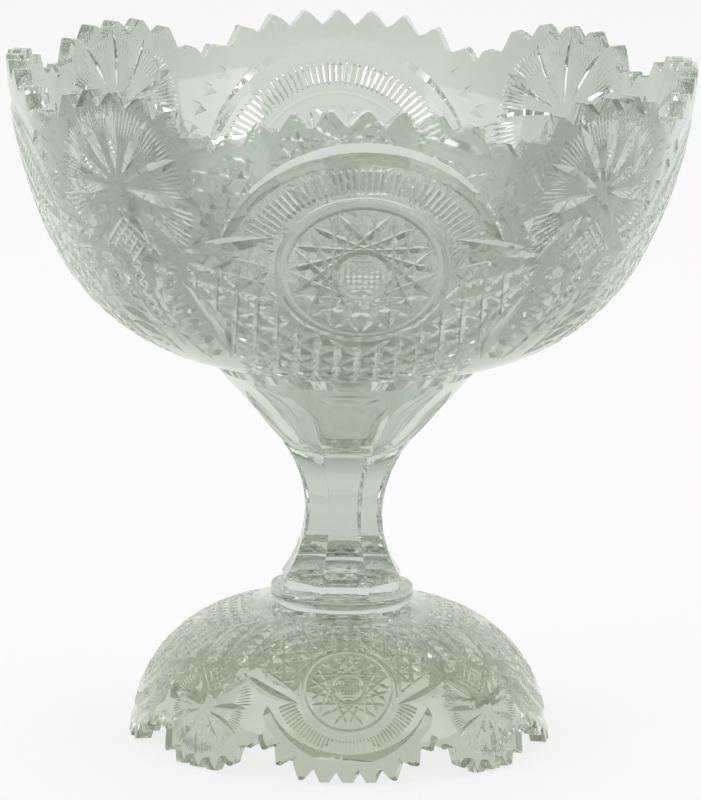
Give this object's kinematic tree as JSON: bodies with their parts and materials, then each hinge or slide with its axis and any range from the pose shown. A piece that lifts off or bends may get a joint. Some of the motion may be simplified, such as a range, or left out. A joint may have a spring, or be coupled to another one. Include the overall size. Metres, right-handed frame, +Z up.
{
  "type": "punch bowl",
  "caption": "Deep cut-glass punch bowl with a scalloped saw-tooth rim, resting on a tall stand with a hollow flared cup, fluted stem and domed scalloped foot.",
  "frame": {"origin": "centre of the table plane under the foot, on the shared axis of bowl and stand", "axes": "+Z up along the axis, towards the bowl's mouth; a hobstar panel faces -Y, +X, +Y and -X"},
  "size_m": [0.3048, 0.3048, 0.307],
  "materials": {
    "bowl_glass": "clear lead glass, cut and polished, with mirror-smooth miter cuts and a ground base",
    "stand_glass": "clear lead glass, cut and polished, with flat polished flutes on the stem and a ground seat"
  },
  "bodies": {
    "stand": {"stand": "stand_glass"},
    "bowl": {"bowl": "bowl_glass"}
  },
  "joints": [
    {"name": "bowl_lift", "type": "slide", "parent": "stand", "child": "bowl", "axis": [0, 0, 1], "range_m": [0, 0.1]}
  ]
}
